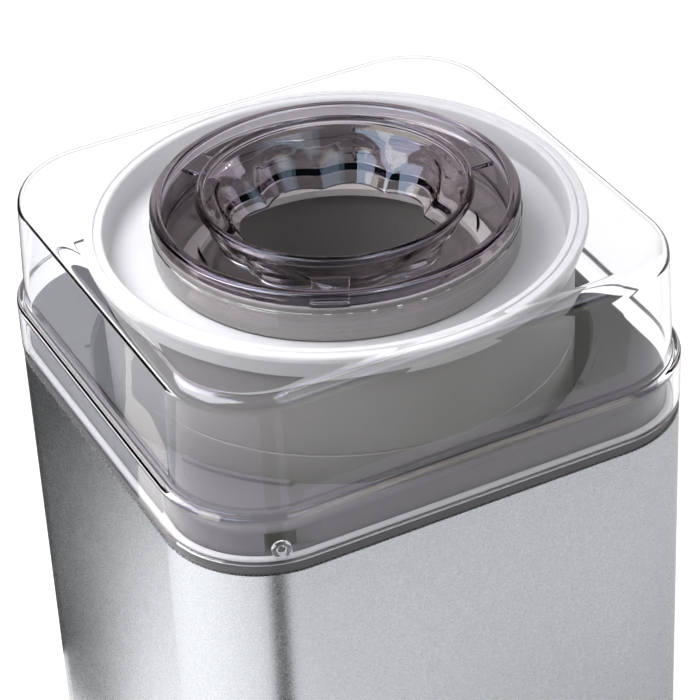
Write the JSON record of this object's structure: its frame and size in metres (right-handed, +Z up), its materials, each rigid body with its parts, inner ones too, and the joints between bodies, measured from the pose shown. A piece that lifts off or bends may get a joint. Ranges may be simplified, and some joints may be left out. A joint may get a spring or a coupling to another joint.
{
  "type": "ice cream maker",
  "caption": "Square steel counter-top ice cream maker: clear lift-off lid, drop-in spout, turning freezer bowl, still paddle, dial and geared motor.",
  "frame": {"origin": "centre of the footprint, on the plane that the rubber feet rest on, which is also the foot of the bowl's axis", "axes": "+Z up along the bowl's axis; the dial is on the -Y face; +X is to the right of that face"},
  "size_m": [0.2106, 0.23, 0.286],
  "materials": {
    "steel_wrap": "fine satin grain",
    "trim_grey": "satin dark grey",
    "deck_grey": "satin grey",
    "clear_lid": "clear moulded plastic",
    "clear_spout": "clear moulded plastic",
    "collar_grey": "satin grey",
    "rim_grey": "satin light grey",
    "bowl_grey": "satin mid grey",
    "liner_metal": "dull cast",
    "coolant_blue": "sealed freezing liquid",
    "paddle_plastic": "satin grey-white",
    "base_black": "fine spark texture",
    "foot_rubber": "matt",
    "zinc_screw": "bright zinc",
    "post_metal": "drawn tube",
    "case_plastic": "glass-filled nylon",
    "gear_nylon": "natural acetal",
    "shaft_steel": "ground",
    "bush_bronze": "sintered bronze",
    "core_steel": "varnished laminations",
    "winding_tape": "varnished copper wire",
    "bracket_zinc": "die-cast",
    "fan_plastic": "moulded",
    "seal_rubber": "matt",
    "switch_plastic": "moulded",
    "bezel_metal": "spun",
    "knob_plastic": "satin black"
  },
  "bodies": {
    "base": {"base_tray": "base_black", "rubber_feet": "foot_rubber", "base_screws": "zinc_screw", "corner_posts": "post_metal", "steel_housing": "steel_wrap", "trim_ring": "trim_grey", "top_deck": "deck_grey", "rear_panel": "steel_wrap", "shaft_seal": "seal_rubber", "cord_gland": "base_black", "control_bezel": "bezel_metal", "rotary_switch": "switch_plastic", "gearbox_case": "case_plastic", "gearbox_cover": "case_plastic", "gearbox_screws": "zinc_screw", "output_bushes": "bush_bronze", "gear_pins": "shaft_steel", "motor_stator": "core_steel", "motor_winding": "winding_tape", "motor_bracket_lower": "bracket_zinc", "motor_bracket_upper": "bracket_zinc", "motor_bushes": "bush_bronze", "motor_bolts": "zinc_screw"},
    "bowl": {"bowl_outer_shell": "bowl_grey", "bowl_inner_liner": "liner_metal", "coolant_fill": "coolant_blue", "bowl_rim": "rim_grey", "drive_hub": "case_plastic", "output_shaft": "shaft_steel", "output_gear": "gear_nylon"},
    "second_gear": {"second_idler": "gear_nylon"},
    "first_gear": {"first_idler": "gear_nylon"},
    "rotor": {"motor_rotor": "core_steel", "motor_shaft": "shaft_steel", "motor_pinion": "shaft_steel", "cooling_fan": "fan_plastic"},
    "paddle": {"mixing_paddle": "paddle_plastic"},
    "lid": {"lid": "clear_lid", "lid_collar": "collar_grey"},
    "spout": {"ingredient_spout": "clear_spout"},
    "knob": {"control_knob": "knob_plastic", "knob_shaft": "shaft_steel"}
  },
  "joints": [
    {"name": "bowl_turn", "type": "hinge", "parent": "base", "child": "bowl", "pos_m": [0, 0, 0.1], "axis": [0, 0, 1], "continuous": true},
    {"name": "second_gear_turn", "type": "hinge", "parent": "base", "child": "second_gear", "pos_m": [0, 0.05, 0.08], "axis": [0, 0, 1], "continuous": true},
    {"name": "first_gear_turn", "type": "hinge", "parent": "base", "child": "first_gear", "pos_m": [-0.03031, 0.0325, 0.08], "axis": [0, 0, 1], "continuous": true},
    {"name": "motor_turn", "type": "hinge", "parent": "base", "child": "rotor", "pos_m": [-0.03031, 0.0077, 0.05], "axis": [0, 0, 1], "continuous": true},
    {"name": "lid_lift", "type": "slide", "parent": "base", "child": "lid", "axis": [0, 0, 1], "range_m": [0, 0.1]},
    {"name": "spout_lift", "type": "slide", "parent": "lid", "child": "spout", "axis": [0, 0, 1], "range_m": [0, 0.04]},
    {"name": "paddle_lift", "type": "slide", "parent": "base", "child": "paddle", "axis": [0, 0, 1], "range_m": [0, 0.008]},
    {"name": "knob_turn", "type": "hinge", "parent": "base", "child": "knob", "pos_m": [0, -0.105, 0.048], "axis": [0, 1, 0], "range_deg": [0, 60]}
  ],
  "couplings": [
    {"joint": "second_gear_turn", "follows": "bowl_turn", "ratio": -4},
    {"joint": "first_gear_turn", "follows": "bowl_turn", "ratio": 16},
    {"joint": "motor_turn", "follows": "bowl_turn", "ratio": -66.667}
  ]
}
